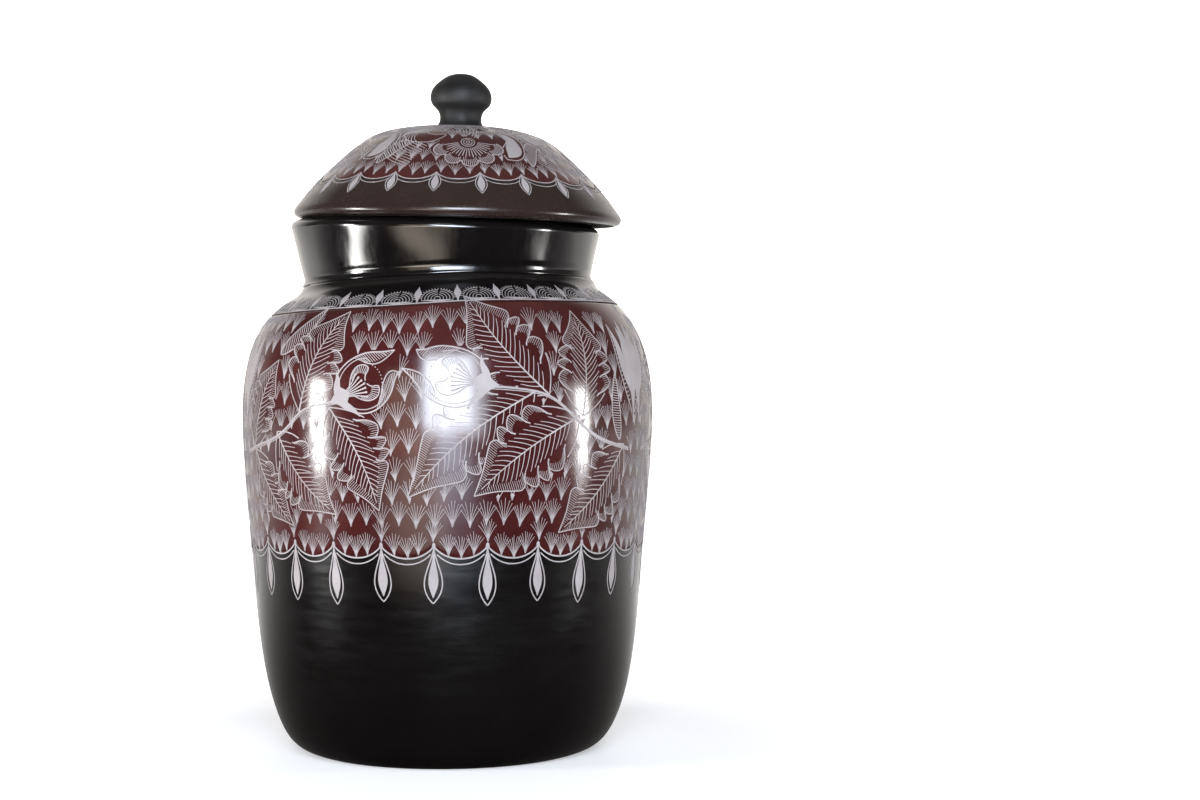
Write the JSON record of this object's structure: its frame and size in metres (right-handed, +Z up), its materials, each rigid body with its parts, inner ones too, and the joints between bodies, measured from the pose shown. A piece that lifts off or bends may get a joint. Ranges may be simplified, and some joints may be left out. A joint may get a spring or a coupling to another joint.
{
  "type": "lidded clay pot",
  "caption": "Tall burnished black clay pot with a rounded shoulder, flared collar, engraved red slip band and a loose domed lid with a mushroom knob.",
  "frame": {"origin": "centre of the underside of the floor, where the pot stands", "axes": "+Z up along the pot's own axis; +X to the right and +Y to the back as it faces the viewer"},
  "size_m": [0.302, 0.302, 0.4977],
  "materials": {
    "burnished_black_clay": "gloss",
    "red_slip": "gloss",
    "matt_black_clay": "matte"
  },
  "bodies": {
    "pot": {"base_slab": "burnished_black_clay", "lower_wall": "burnished_black_clay", "belly_wall": "burnished_black_clay", "shoulder_wall": "burnished_black_clay", "body_slip": "red_slip", "neck_collar": "burnished_black_clay", "collar_lip": "burnished_black_clay"},
    "lid": {"lid_rim": "burnished_black_clay", "lid_dome": "burnished_black_clay", "lid_slip": "red_slip", "lid_knob": "matt_black_clay"}
  },
  "joints": [
    {"name": "lid_lift", "type": "slide", "parent": "pot", "child": "lid", "axis": [0, 0, 1], "range_m": [0, 0.12]}
  ]
}
